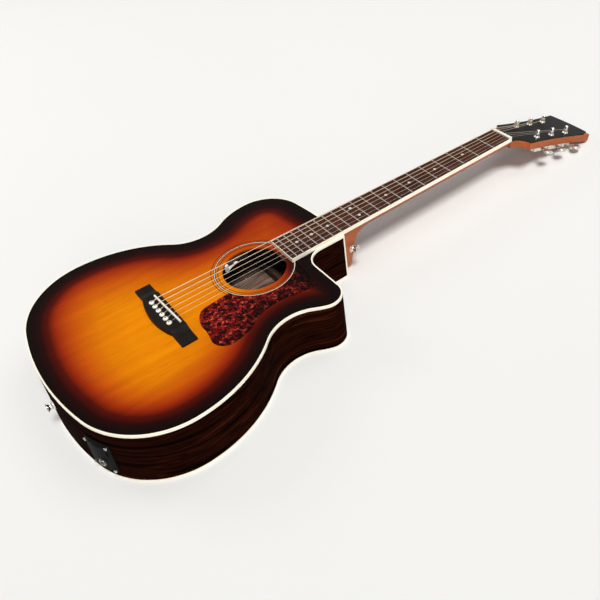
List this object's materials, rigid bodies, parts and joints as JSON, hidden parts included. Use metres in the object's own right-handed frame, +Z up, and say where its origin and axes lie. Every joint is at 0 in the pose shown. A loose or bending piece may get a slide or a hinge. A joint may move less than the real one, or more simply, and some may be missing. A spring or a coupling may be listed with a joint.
{
  "type": "acoustic guitar",
  "caption": "Cutaway acoustic guitar: hollow wooden body with soundhole, fretted neck, geared tuners, pin bridge, wound strings, soundhole controls and a jack plate with a battery drawer.",
  "frame": {"origin": "centre of the bounding box in plan, on the plane the back lies on", "axes": "+X from the nut to the tail, +Y to the treble side, +Z up out of the soundboard's face"},
  "size_m": [1.0378, 0.391, 0.1046],
  "materials": {
    "burst_spruce": "gloss lacquer over a shaded yellow to dark red stain",
    "dark_wood": "gloss lacquer",
    "binding": "polished ivory-coloured binding",
    "pale_wood": "bare, unfinished inside",
    "mahogany": "satin lacquer",
    "black_veneer": "gloss lacquer",
    "board_wood": "oiled",
    "bridge_wood": "oiled",
    "steel": "bright",
    "nickel": "polished",
    "pearl": "pearly",
    "bone": "polished bone-coloured",
    "bronze": "wound wire",
    "inlay": "light and dark lines",
    "tortoise": "mottled, polished",
    "black_plastic": "fine grained",
    "white_plastic": "smooth",
    "cell": "painted can"
  },
  "bodies": {
    "guitar": {"soundboard": "burst_spruce", "back": "dark_wood", "bass_side": "dark_wood", "treble_side": "dark_wood", "top_binding": "binding", "back_binding": "binding", "cutaway_strip": "binding", "linings": "pale_wood", "neck_block": "pale_wood", "tail_block": "pale_wood", "top_braces": "pale_wood", "back_braces": "pale_wood", "bridge_plate": "pale_wood", "rosette": "inlay", "pickguard": "tortoise", "neck": "mahogany", "headstock_veneer": "black_veneer", "truss_rod": "steel", "fretboard": "board_wood", "fretboard_binding": "binding", "frets": "nickel", "position_dots": "pearl", "nut": "bone", "bridge": "bridge_wood", "saddle_pickup": "steel", "saddle": "bone", "bridge_pins": "bone", "strings": "bronze", "tuner_housings": "nickel", "tuner_bushings": "nickel", "tuner_screws": "nickel", "strap_washers": "white_plastic", "strap_buttons": "nickel", "strap_screws": "steel", "jack_plate": "black_plastic", "jack_socket": "nickel", "plate_screws": "steel", "control_unit": "white_plastic"},
    "post_1": {"tuner_post_1": "nickel", "winding_1": "bronze"},
    "key_1": {"tuner_key_1": "nickel"},
    "post_2": {"tuner_post_2": "nickel", "winding_2": "bronze"},
    "key_2": {"tuner_key_2": "nickel"},
    "post_3": {"tuner_post_3": "nickel", "winding_3": "bronze"},
    "key_3": {"tuner_key_3": "nickel"},
    "post_4": {"tuner_post_4": "nickel", "winding_4": "bronze"},
    "key_4": {"tuner_key_4": "nickel"},
    "post_5": {"tuner_post_5": "nickel", "winding_5": "bronze"},
    "key_5": {"tuner_key_5": "nickel"},
    "post_6": {"tuner_post_6": "nickel", "winding_6": "bronze"},
    "key_6": {"tuner_key_6": "nickel"},
    "volume_control": {"volume_wheel": "black_plastic"},
    "tone_control": {"tone_wheel": "black_plastic"},
    "battery_tray": {"battery_drawer": "black_plastic", "battery": "cell"}
  },
  "joints": [
    {"name": "key_1_turn", "type": "hinge", "parent": "guitar", "child": "key_1", "pos_m": [-0.4045, -0.0242, 0.0345], "axis": [0, -1, 0], "continuous": true},
    {"name": "post_1_turn", "type": "hinge", "parent": "guitar", "child": "post_1", "pos_m": [-0.40231, -0.0242, 0.05476], "axis": [-0.3197, 0, 0.9475], "continuous": true},
    {"name": "key_2_turn", "type": "hinge", "parent": "guitar", "child": "key_2", "pos_m": [-0.43937, -0.0254, 0.02273], "axis": [0, -1, 0], "continuous": true},
    {"name": "post_2_turn", "type": "hinge", "parent": "guitar", "child": "post_2", "pos_m": [-0.43718, -0.0254, 0.04299], "axis": [-0.3197, 0, 0.9475], "continuous": true},
    {"name": "key_3_turn", "type": "hinge", "parent": "guitar", "child": "key_3", "pos_m": [-0.47424, -0.0266, 0.01097], "axis": [0, -1, 0], "continuous": true},
    {"name": "post_3_turn", "type": "hinge", "parent": "guitar", "child": "post_3", "pos_m": [-0.47205, -0.0266, 0.03123], "axis": [-0.3197, 0, 0.9475], "continuous": true},
    {"name": "key_4_turn", "type": "hinge", "parent": "guitar", "child": "key_4", "pos_m": [-0.47424, 0.0266, 0.01097], "axis": [0, 1, 0], "continuous": true},
    {"name": "post_4_turn", "type": "hinge", "parent": "guitar", "child": "post_4", "pos_m": [-0.47205, 0.0266, 0.03123], "axis": [-0.3197, 0, 0.9475], "continuous": true},
    {"name": "key_5_turn", "type": "hinge", "parent": "guitar", "child": "key_5", "pos_m": [-0.43937, 0.0254, 0.02273], "axis": [0, 1, 0], "continuous": true},
    {"name": "post_5_turn", "type": "hinge", "parent": "guitar", "child": "post_5", "pos_m": [-0.43718, 0.0254, 0.04299], "axis": [-0.3197, 0, 0.9475], "continuous": true},
    {"name": "key_6_turn", "type": "hinge", "parent": "guitar", "child": "key_6", "pos_m": [-0.4045, 0.0242, 0.0345], "axis": [0, 1, 0], "continuous": true},
    {"name": "post_6_turn", "type": "hinge", "parent": "guitar", "child": "post_6", "pos_m": [-0.40231, 0.0242, 0.05476], "axis": [-0.3197, 0, 0.9475], "continuous": true},
    {"name": "volume_turn", "type": "hinge", "parent": "guitar", "child": "volume_control", "pos_m": [0.16699, -0.05147, 0.07922], "axis": [-0.0287, 0, 0.9996], "range_deg": [-150, 150]},
    {"name": "tone_turn", "type": "hinge", "parent": "guitar", "child": "tone_control", "pos_m": [0.1811, -0.04898, 0.07963], "axis": [-0.0287, 0, 0.9996], "range_deg": [-150, 150]},
    {"name": "tray_slide", "type": "slide", "parent": "guitar", "child": "battery_tray", "axis": [0.9201, 0.3907, 0.0264], "range_m": [0, 0.05]}
  ],
  "couplings": [
    {"joint": "post_1_turn", "follows": "key_1_turn", "ratio": -0.055556},
    {"joint": "post_2_turn", "follows": "key_2_turn", "ratio": -0.055556},
    {"joint": "post_3_turn", "follows": "key_3_turn", "ratio": -0.055556},
    {"joint": "post_4_turn", "follows": "key_4_turn", "ratio": 0.055556},
    {"joint": "post_5_turn", "follows": "key_5_turn", "ratio": 0.055556},
    {"joint": "post_6_turn", "follows": "key_6_turn", "ratio": 0.055556}
  ]
}
